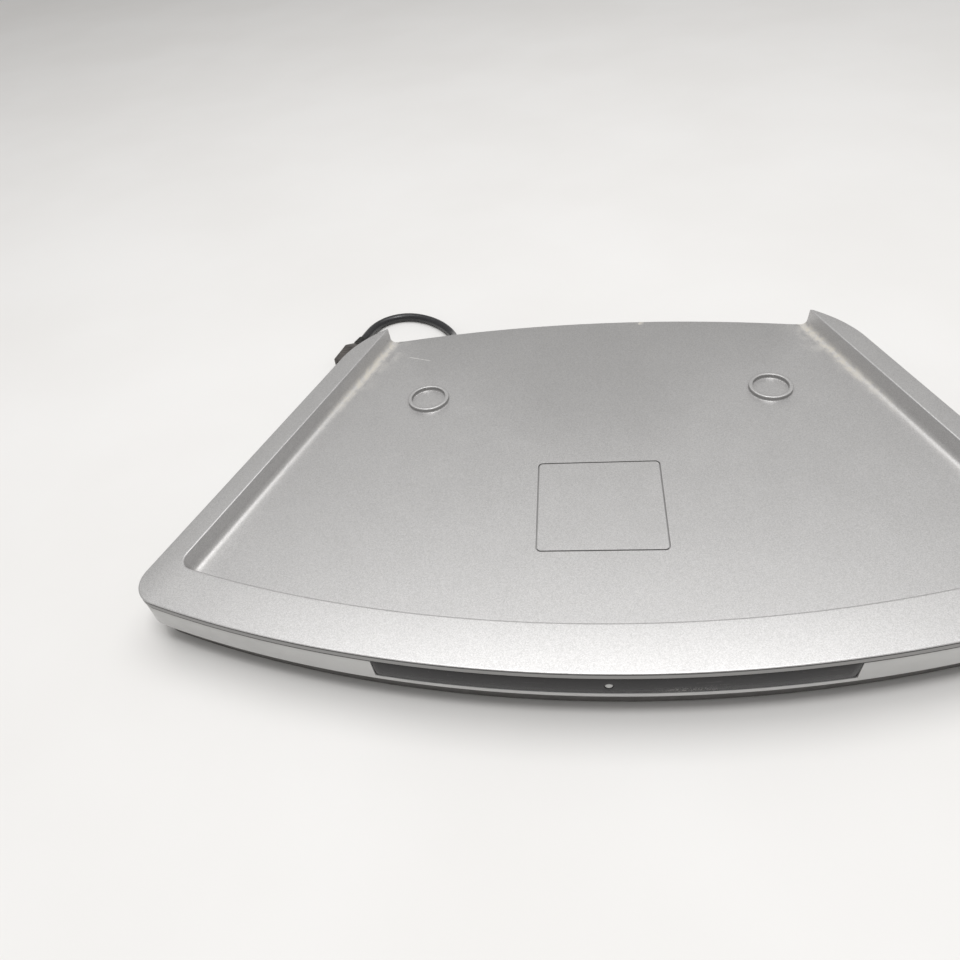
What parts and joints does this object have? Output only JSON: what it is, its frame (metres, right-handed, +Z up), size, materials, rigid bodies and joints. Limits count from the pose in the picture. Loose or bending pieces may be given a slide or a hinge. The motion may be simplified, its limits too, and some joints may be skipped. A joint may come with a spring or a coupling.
{
  "type": "network audio pedestal",
  "caption": "Shallow open-backed tray that a table radio stands on, with raised rim, locating rings, smoked front window, rear port bay and a short lead with a plug.",
  "frame": {"origin": "on the table, under the middle of the object's box without its lead and plug", "axes": "+Z up, front (window) towards -Y, open rear of the tray and the ports towards +Y, +X to the right seen from the front"},
  "size_m": [0.3894, 0.2925, 0.0298],
  "materials": {
    "silver_paint": "fine metallic silver paint, satin",
    "pale_plastic": "smooth satin grey",
    "smoked_window": "glossy smoked, lets infrared through",
    "light_guide": "frosted clear",
    "black_plastic": "fine spark texture",
    "black_rubber": "matte",
    "cord_jacket": "satin extruded jacket",
    "steel": "plated",
    "board_green": "solder mask",
    "chip_black": "moulded",
    "flex_white": "satin"
  },
  "bodies": {
    "pedestal": {"top_cover": "silver_paint", "lower_housing": "pale_plastic", "front_window": "smoked_window", "indicator_lens": "light_guide", "rear_panel": "black_plastic", "ethernet_jack": "steel", "service_port": "steel", "setup_switch_body": "chip_black", "main_board": "board_green", "processor": "chip_black", "shield_can": "steel", "radio_module": "steel", "lead_header": "flex_white", "inner_lead": "cord_jacket", "front_board": "board_green", "status_led": "flex_white", "infrared_receiver": "chip_black", "ribbon_cable": "flex_white", "antenna_left": "board_green", "antenna_right": "board_green", "antenna_lead_left": "cord_jacket", "antenna_lead_right": "cord_jacket", "foot_front_left": "black_rubber", "foot_front_right": "black_rubber", "foot_rear_left": "black_rubber", "foot_rear_right": "black_rubber", "case_screw_1": "steel", "case_screw_2": "steel", "case_screw_3": "steel", "case_screw_4": "steel", "case_screw_5": "steel", "case_screw_6": "steel", "board_screw_1": "steel", "board_screw_2": "steel", "board_screw_3": "steel", "board_screw_4": "steel", "lead_gland": "black_rubber", "lead": "cord_jacket", "plug_strain_relief": "black_rubber", "plug_body": "black_plastic", "plug_contact_block": "chip_black"},
    "setup_button": {"setup_button": "black_plastic", "setup_switch_plunger": "flex_white"}
  },
  "joints": [
    {"name": "setup_button_press", "type": "slide", "parent": "pedestal", "child": "setup_button", "axis": [0, -1, 0], "range_m": [0, 0.0008], "stiffness_N_per_m": 600}
  ]
}
